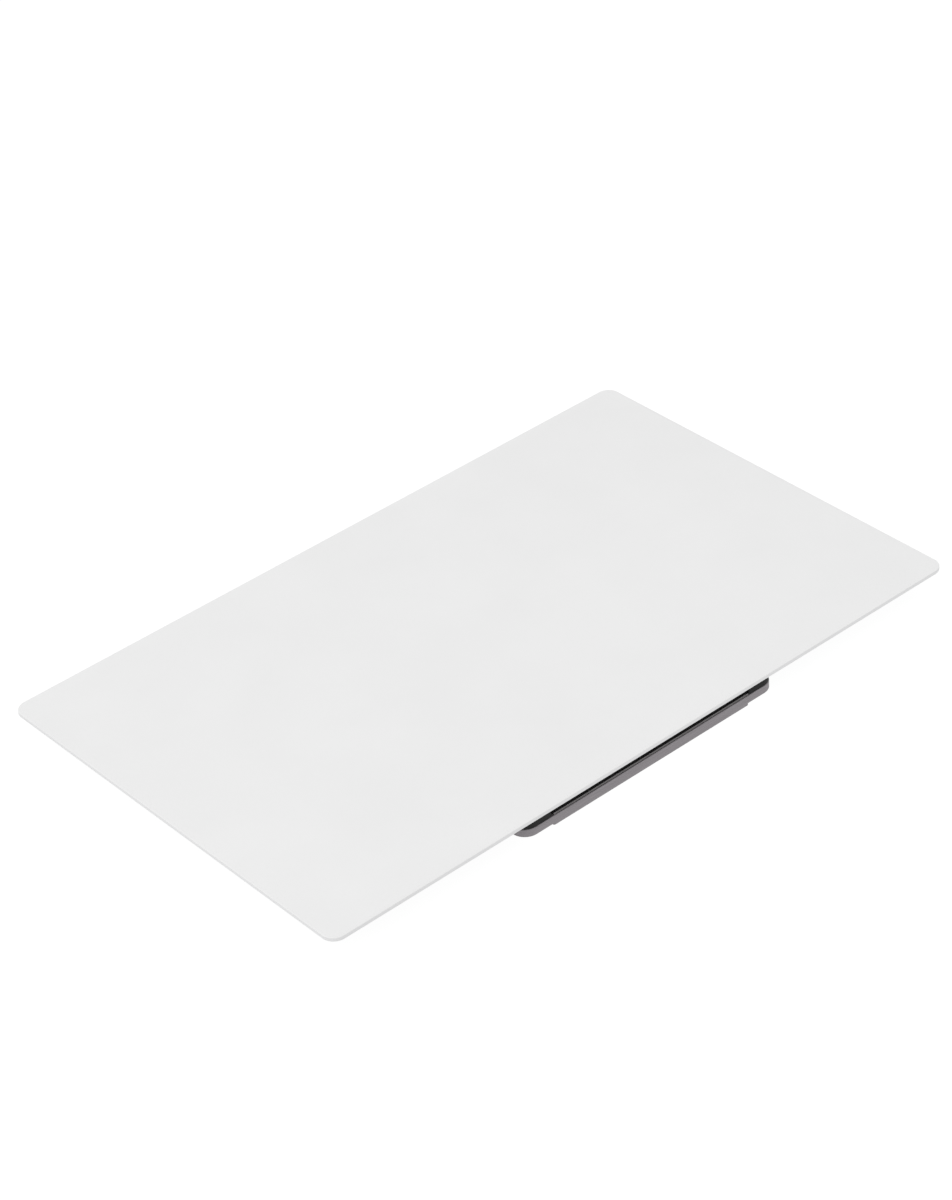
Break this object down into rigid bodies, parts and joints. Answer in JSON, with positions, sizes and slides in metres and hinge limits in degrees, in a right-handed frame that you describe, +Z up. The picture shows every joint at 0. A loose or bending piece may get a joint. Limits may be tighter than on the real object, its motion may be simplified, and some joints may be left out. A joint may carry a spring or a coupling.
{
  "type": "trackpad module",
  "caption": "Flat haptic trackpad module: a matt glass touch plate on spring leaves and gel pads, with an electromagnet in its front bracket and threaded nuts to mount it.",
  "frame": {"origin": "under the middle of the touch plate, on the plane that the module rests on", "axes": "+X along the long side of the plate, +Y from the front edge with the bracket to the rear, +Z up"},
  "size_m": [0.134, 0.083, 0.0052],
  "materials": {
    "plate_glass": "satin",
    "bond_film": "matte",
    "board_mask": "satin",
    "black_spacer": "matte",
    "armature_steel": "satin",
    "tinned_steel": "satin",
    "chip_resin": "matte",
    "sensor_lid": "satin",
    "ferrite": "matte",
    "capacitor_ceramic": "matte",
    "solder_tin": "satin",
    "socket_plastic": "satin",
    "contact_gold": "polished",
    "latch_plastic": "satin",
    "bracket_metal": "satin",
    "core_steel": "matte",
    "rivet_steel": "satin",
    "flex_film": "satin",
    "rail_steel": "satin",
    "screw_steel": "satin",
    "nut_brass": "satin",
    "bobbin_plastic": "matte",
    "coil_copper": "gloss",
    "bumper_rubber": "matte",
    "shim_steel": "satin",
    "leaf_steel": "satin",
    "gauge_film": "satin",
    "gel": "gloss"
  },
  "bodies": {
    "frame": {"front_bracket": "bracket_metal", "magnet_core": "core_steel", "core_rivets": "rivet_steel", "coil_flex": "flex_film", "rear_bar": "rail_steel", "frame_screws": "screw_steel", "mount_nuts": "nut_brass", "leaf_rivets": "rivet_steel", "bobbin_1": "bobbin_plastic", "coil_1": "coil_copper", "bobbin_2": "bobbin_plastic", "coil_2": "coil_copper", "bobbin_3": "bobbin_plastic", "coil_3": "coil_copper", "bobbin_4": "bobbin_plastic", "coil_4": "coil_copper", "bumper_left": "bumper_rubber", "rail_left": "rail_steel", "leaf_shim_left": "shim_steel", "gauge_flex_left": "flex_film", "bumper_right": "bumper_rubber", "rail_right": "rail_steel", "leaf_shim_right": "shim_steel", "gauge_flex_right": "flex_film", "leaf_front_left": "leaf_steel", "strain_gauge_front_left": "gauge_film", "leaf_front_right": "leaf_steel", "strain_gauge_front_right": "gauge_film", "leaf_rear_left": "leaf_steel", "strain_gauge_rear_left": "gauge_film", "leaf_rear_right": "leaf_steel", "strain_gauge_rear_right": "gauge_film"},
    "gel": {"gel_pad_front_left": "gel", "gel_pad_front_right": "gel", "gel_pad_rear_left": "gel", "gel_pad_rear_right": "gel"},
    "plate": {"glass_plate": "plate_glass", "bond_film": "bond_film", "sensor_board": "board_mask", "armature_spacer": "black_spacer", "armature_plate": "armature_steel", "shield_fence": "tinned_steel", "shield_can": "tinned_steel", "touch_controller": "chip_resin", "haptic_driver": "chip_resin", "memory_chip": "chip_resin", "motion_sensor": "sensor_lid", "power_inductor": "ferrite", "capacitors": "capacitor_ceramic", "capacitor_ends": "solder_tin", "socket_housing": "socket_plastic", "socket_contacts": "contact_gold"},
    "latch": {"socket_latch": "latch_plastic"}
  },
  "joints": [
    {"name": "press", "type": "slide", "parent": "frame", "child": "gel", "axis": [0, 0, 1], "range_m": [-0.00015, 0], "stiffness_N_per_m": 6000, "springref_m": 0.0001, "deforming": ["leaf_front_left", "leaf_front_right", "leaf_rear_left", "leaf_rear_right", "gauge_flex_left", "gauge_flex_right", "coil_flex"]},
    {"name": "shake", "type": "slide", "parent": "gel", "child": "plate", "axis": [0, 1, 0], "range_m": [-0.0001, 0.0001], "stiffness_N_per_m": 6000},
    {"name": "latch_flip", "type": "hinge", "parent": "plate", "child": "latch", "pos_m": [0.022, 0.01666, 0.00264], "axis": [-1, 0, 0], "range_deg": [0, 95]}
  ]
}
